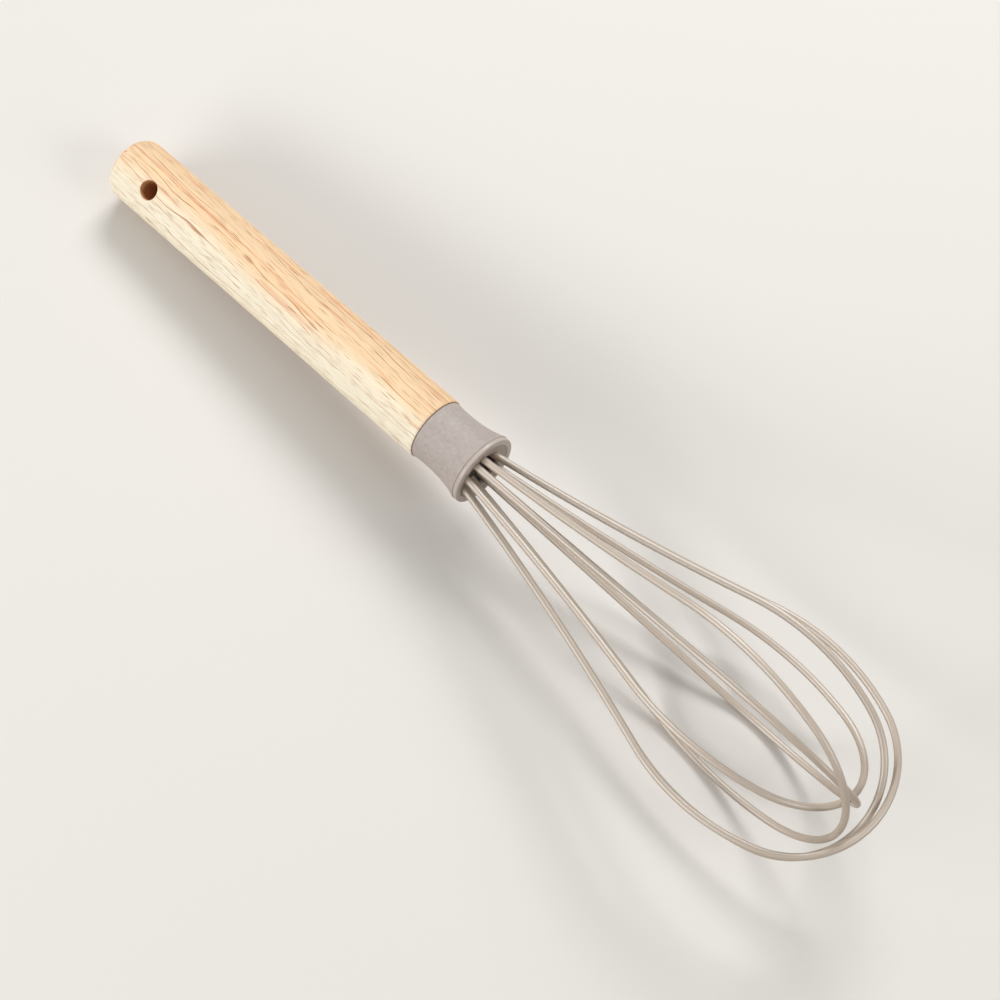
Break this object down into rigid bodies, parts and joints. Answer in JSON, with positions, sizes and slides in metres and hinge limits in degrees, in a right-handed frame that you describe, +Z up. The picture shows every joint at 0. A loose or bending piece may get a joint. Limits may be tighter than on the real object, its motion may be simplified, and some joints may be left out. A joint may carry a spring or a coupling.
{
  "type": "balloon whisk",
  "caption": "Balloon whisk lying at rest: round wooden handle with hanging hole, flared silicone collar and nested silicone-coated wire loops.",
  "frame": {"origin": "on the table, under the middle of the whisk's box as it lies at rest", "axes": "+X along the whisk towards the tip of the loops, +Z up from the table; the whisk's own axis climbs 4.8 degrees from the handle's end to the cage"},
  "size_m": [0.3028, 0.0629, 0.0677],
  "materials": {
    "handle_wood": "sanded, light oil",
    "collar_silicone": "matt moulded silicone",
    "coating_silicone": "satin silicone",
    "holder_plastic": "matt nylon, close to the collar's grey",
    "steel": "drawn stainless steel"
  },
  "bodies": {
    "root": {"handle": "handle_wood", "collar": "collar_silicone", "wire_holder": "holder_plastic", "joining_stud": "steel", "loop_1_coating": "coating_silicone", "loop_2_coating": "coating_silicone", "loop_3_coating": "coating_silicone", "loop_4_coating": "coating_silicone", "loop_5_coating": "coating_silicone", "loop_1_core": "steel", "loop_2_core": "steel", "loop_3_core": "steel", "loop_4_core": "steel", "loop_5_core": "steel"}
  },
  "joints": []
}
